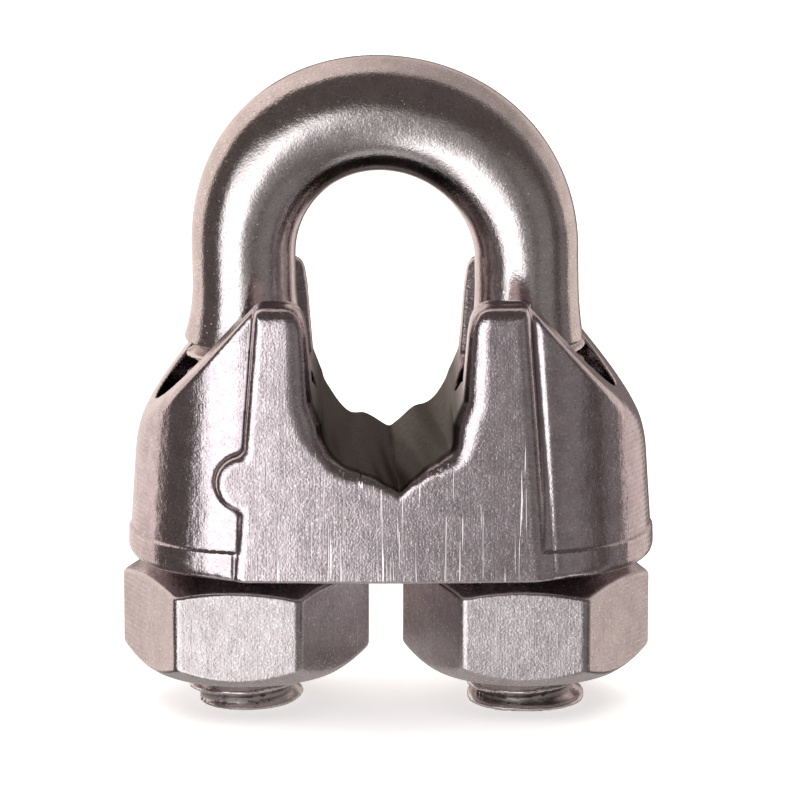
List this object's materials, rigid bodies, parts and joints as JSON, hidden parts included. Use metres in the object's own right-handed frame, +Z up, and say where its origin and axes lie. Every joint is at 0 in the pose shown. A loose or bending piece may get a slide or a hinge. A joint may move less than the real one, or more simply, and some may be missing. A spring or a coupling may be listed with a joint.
{
  "type": "wire rope clip",
  "caption": "U-shaped threaded bar whose nuts draw a grooved saddle up against it to clamp wire rope laid side by side.",
  "frame": {"origin": "midway between the legs, on the plane of the leg ends", "axes": "+Z up from the leg ends to the bow, +X from the left leg to the right leg, the rope passes through along Y, the lobed face looks to -Y"},
  "size_m": [0.0352, 0.0168, 0.0433],
  "materials": {
    "u_bolt_steel": "tumbled and polished stainless steel",
    "saddle_steel": "finely blasted and tumbled stainless steel with upright scratches",
    "nut_steel": "satin stainless steel with fine scratches"
  },
  "bodies": {
    "u_bolt": {"u_bolt": "u_bolt_steel"},
    "saddle": {"saddle": "saddle_steel"},
    "left_nut": {"left_nut": "nut_steel"},
    "right_nut": {"right_nut": "nut_steel"}
  },
  "joints": [
    {"name": "saddle_slide", "type": "slide", "parent": "u_bolt", "child": "saddle", "axis": [0, 0, 1], "range_m": [-0.0021, 0.0107]},
    {"name": "left_nut_turn", "type": "hinge", "parent": "saddle", "child": "left_nut", "pos_m": [-0.00925, 0, 0.0062], "axis": [0, 0, 1], "range_deg": [-530, 2700]},
    {"name": "right_nut_turn", "type": "hinge", "parent": "saddle", "child": "right_nut", "pos_m": [0.00925, 0, 0.0062], "axis": [0, 0, 1], "range_deg": [-530, 2700]}
  ],
  "couplings": [
    {"joint": "right_nut_turn", "follows": "left_nut_turn", "ratio": 1},
    {"joint": "saddle_slide", "follows": "left_nut_turn", "m_per_rad": 0.00022458}
  ]
}
